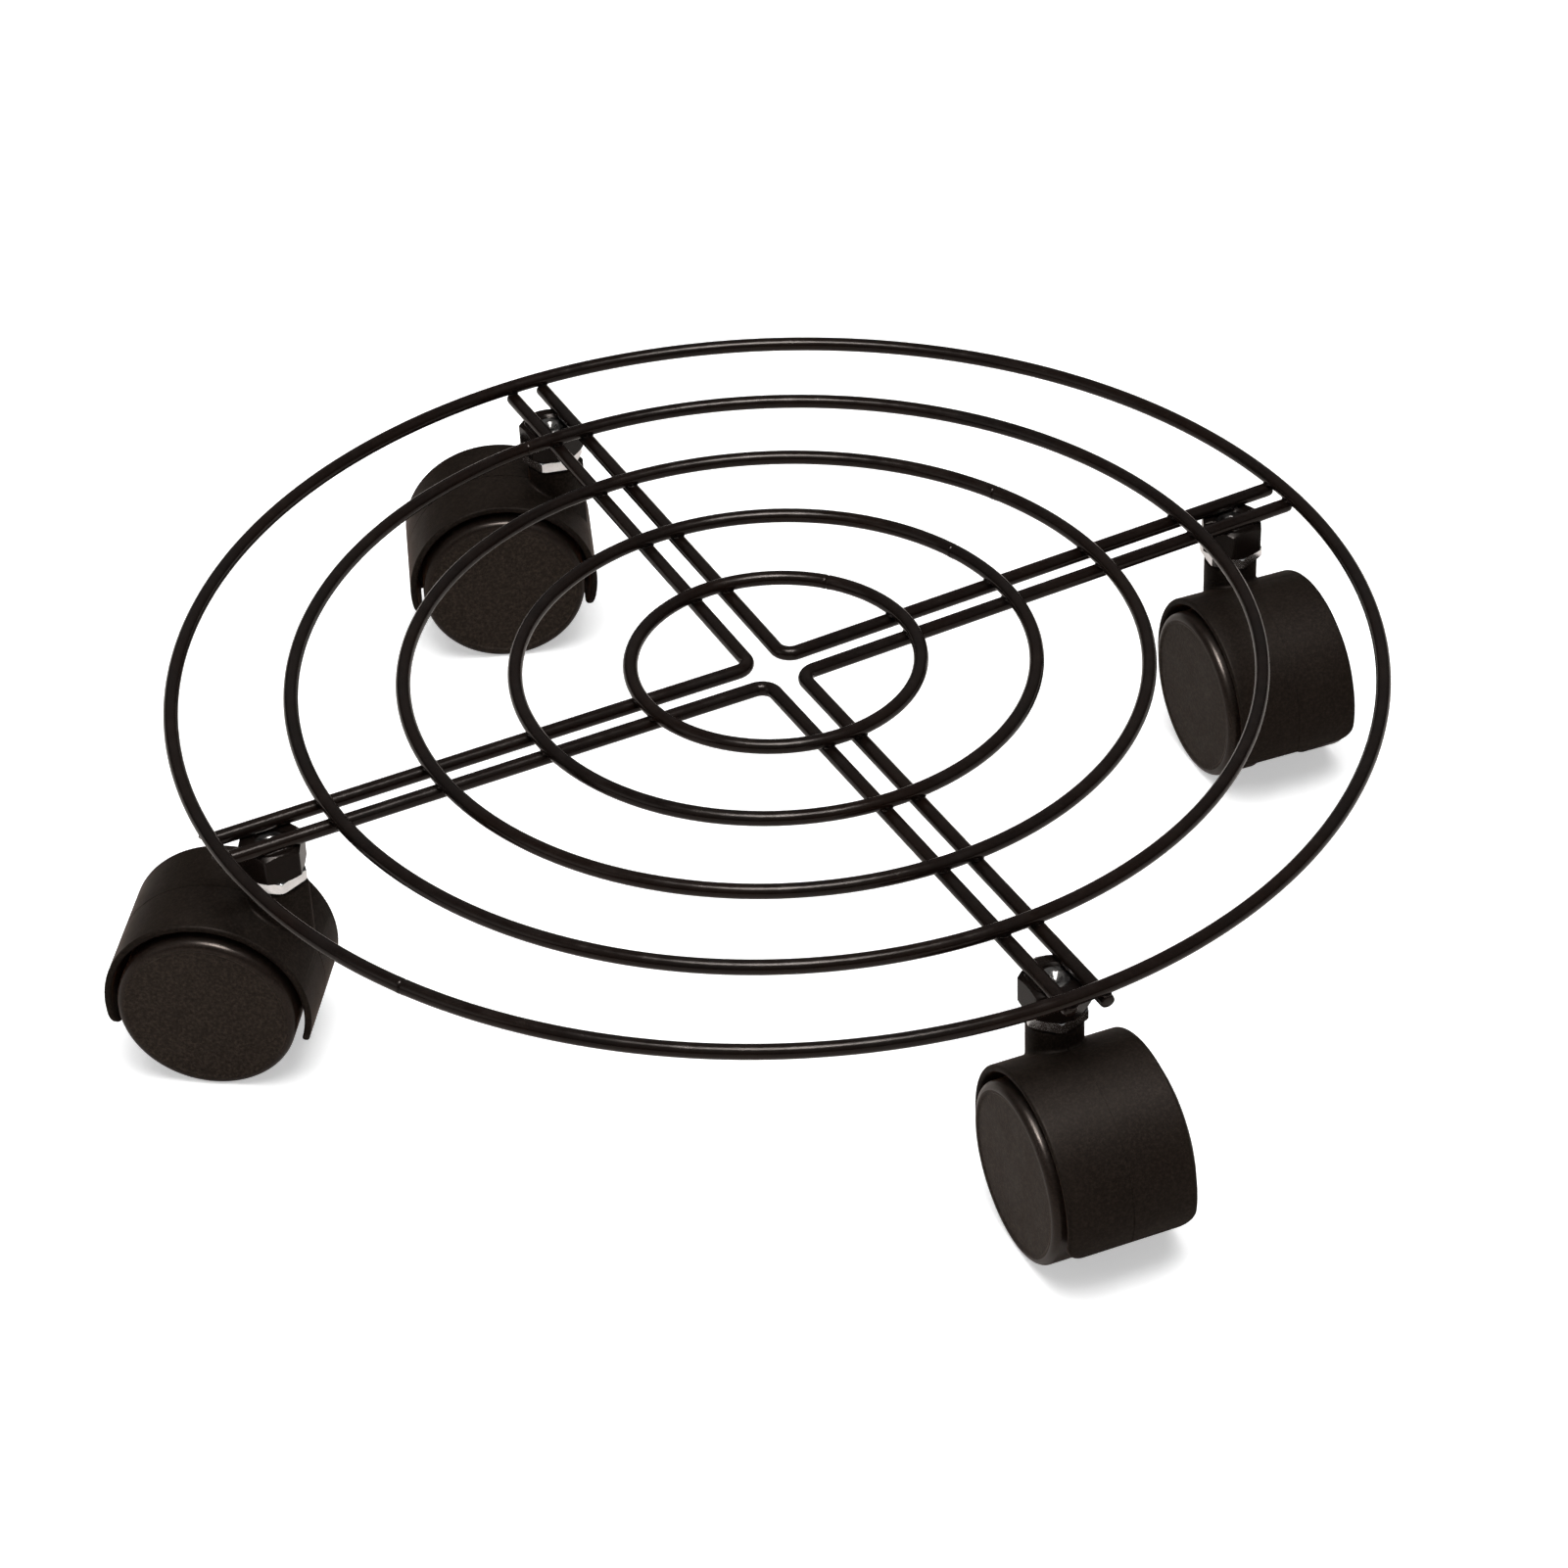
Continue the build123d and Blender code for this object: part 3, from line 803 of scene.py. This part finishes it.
def caster_wheel(place, wheel, side):
    """Dished wheel with a closed, faintly sunk face; side is +1 or -1 along the axle."""
    shell_points, shell_faces = lathe(wheel_profile(), 120)
    shell = shell_points, turned_over(shell_faces)
    ribs = [wheel_rib(2 * math.pi / RIB_COUNT * k) for k in range(RIB_COUNT)]
    x, y, z = joint(f"{place}_wheel_{wheel}_roll")["pos_m"]
    axle = Matrix.Translation((x, y, z)) @ Matrix.Rotation(trail_angle(place), 4, "Z")
    axle = axle @ Matrix.Rotation(-side * math.pi / 2, 4, "X")
    points, faces = moved(join(shell, *ribs), axle)
    piece = add_mesh(f"{place}_wheel_{wheel}_moulded", points, faces, FACE_NYLON, 40)
    piece.data.materials.append(TREAD_NYLON)
    to_axle = axle.inverted()
    for polygon in piece.data.polygons:
        centre = to_axle @ polygon.center
        if math.hypot(centre.x, centre.y) > WHEEL_RADIUS - EDGE_ROUND:
            polygon.material_index = 1
    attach(piece, f"{place}_wheel_{wheel}")
    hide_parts(f"{place}_caster_wheel_{wheel}")


# ------------------------------------------------------------------------------------
# Build the object
# ------------------------------------------------------------------------------------

def dress(node, material):
    """Give a carried-over CAD node one material."""
    mesh = frame["nodes"][node].data
    mesh.materials.clear()
    mesh.materials.append(material)
    for polygon in mesh.polygons:
        polygon.material_index = 0


for ring in SEAM_ANGLES:
    ring_wire(ring)
    ring_welds(ring)
for first, second in (("right", "back"), ("back", "left"), ("left", "front"), ("front", "right")):
    cross_wire(first, second)
for caster in PLACES:
    weld_nut(caster)
    nut_welds(caster)
    caster_stem(caster)
    dress(f"{caster}_caster_housing", HOUSING_NYLON)
    caster_wheel(caster, "a", 1)
    caster_wheel(caster, "b", -1)
    dress(f"{caster}_caster_axle", ZINC)
    dress(f"{caster}_caster_snap_ring", SPRING_STEEL)


# ------------------------------------------------------------------------------------
# Floor, light and camera
# ------------------------------------------------------------------------------------

def add_floor():
    """A plain floor that reaches far behind the object."""
    size = 4.0
    points = [(-size, -size, 0), (size, -size, 0), (size, size, 0), (-size, size, 0)]
    floor = add_mesh("floor", points, [(0, 1, 2, 3)], pale_floor())


def camera_axes():
    """Right, up and back directions of the camera."""
    turn, rise, roll = (math.radians(v) for v in (VIEW_AZIMUTH, VIEW_ELEVATION, VIEW_ROLL))
    side = polar(1, turn)
    ahead = polar(1, turn + math.pi / 2)
    back = Vector((0, 0, math.sin(rise))) - ahead * math.cos(rise)
    level_up = back.cross(side)
    right = side * math.cos(roll) + level_up * math.sin(roll)
    up = level_up * math.cos(roll) - side * math.sin(roll)
    return side, ahead, right, up, back


def add_camera():
    """The camera at the wanted direction, roll and distance, aimed near the rings' centre."""
    side, ahead, right, up, back = camera_axes()
    aim = Vector((0, 0, RING_HEIGHT)) + (side * AIM_SIDE + ahead * AIM_AHEAD) * RING_RADIUS
    data = bpy.data.cameras.new("camera")
    data.sensor_width = SENSOR_WIDTH
    data.lens = FOCAL_LENGTH
    data.clip_start = 0.05
    data.clip_end = 30
    camera = bpy.data.objects.new("camera", data)
    turned = Matrix((right, up, back)).transposed().to_4x4()
    camera.matrix_world = Matrix.Translation(aim + back * VIEW_DISTANCE * RING_RADIUS) @ turned
    bpy.context.scene.collection.objects.link(camera)
    bpy.context.scene.camera = camera


def add_softbox(name, toward, height, size, watts, mirrored=True, lit=True):
    """A square area light placed toward a level direction and aimed at the object.

    It can be left out of mirror reflections, or be seen in nothing but those.
    """
    aim = Vector((0, 0, RING_HEIGHT / 2))
    data = bpy.data.lights.new(name, "AREA")
    data.shape = "SQUARE"
    data.size = size
    data.energy = watts
    light = bpy.data.objects.new(name, data)
    light.location = Vector((toward.x, toward.y, height))
    light.rotation_mode = "QUATERNION"
    light.rotation_quaternion = (light.location - aim).to_track_quat("Z", "Y")
    light.visible_glossy = mirrored
    light.visible_diffuse = lit
    bpy.context.scene.collection.objects.link(light)


def studio_world():
    """Dim room that shows as white backdrop, with a paler band that only reflections see."""
    world = bpy.data.worlds.new("studio")
    world.use_nodes = True
    nodes, links = world.node_tree.nodes, world.node_tree.links
    background = nodes["Background"]
    background.inputs["Color"].default_value = WHITE

    def ramp(value, start, end, low, high):
        node = nodes.new("ShaderNodeMapRange")
        links.new(value, node.inputs["Value"])
        settings = {"From Min": start, "From Max": end, "To Min": low, "To Max": high}
        for key, setting in settings.items():
            if isinstance(setting, bpy.types.NodeSocket):
                links.new(setting, node.inputs[key])
            else:
                node.inputs[key].default_value = setting
        return node.outputs["Result"]

    direction = nodes.new("ShaderNodeSeparateXYZ")
    links.new(nodes.new("ShaderNodeTexCoord").outputs["Generated"], direction.inputs["Vector"])
    height = direction.outputs["Z"]
    dark, pale, room, backdrop = 0.04, 0.24, 0.15, 1.0
    rising = ramp(height, 0.15, 0.50, dark, pale)
    band = ramp(height, 0.70, 0.90, rising, dark)
    path = nodes.new("ShaderNodeLightPath")
    strength = ramp(path.outputs["Is Glossy Ray"], 0.0, 1.0, room, band)
    strength = ramp(path.outputs["Is Camera Ray"], 0.0, 1.0, strength, backdrop)
    links.new(strength, background.inputs["Strength"])
    return world


def add_lights():
    """A soft key from above, its small glint in reflections, a floor wash and two fills."""
    side, ahead, _, _, _ = camera_axes()
    above = ahead * -0.35
    left = side * -1.5 - ahead * 0.8
    front = side * 0.7 - ahead * 1.5
    add_softbox("key_overhead", above, height=1.25, size=0.80, watts=10.5, mirrored=False)
    add_softbox("glint_overhead", above, height=1.25, size=0.34, watts=84.0, lit=False)
    add_softbox("floor_wash", ahead * 0.6, height=2.4, size=3.0, watts=50.0, mirrored=False)
    add_softbox("fill_left", left, height=0.7, size=0.9, watts=2.0)
    add_softbox("fill_front", front, height=0.3, size=0.8, watts=3.5, mirrored=False)
    bpy.context.scene.world = studio_world()
    bpy.context.scene.view_settings.view_transform = "Standard"


add_floor()
add_camera()
add_lights()
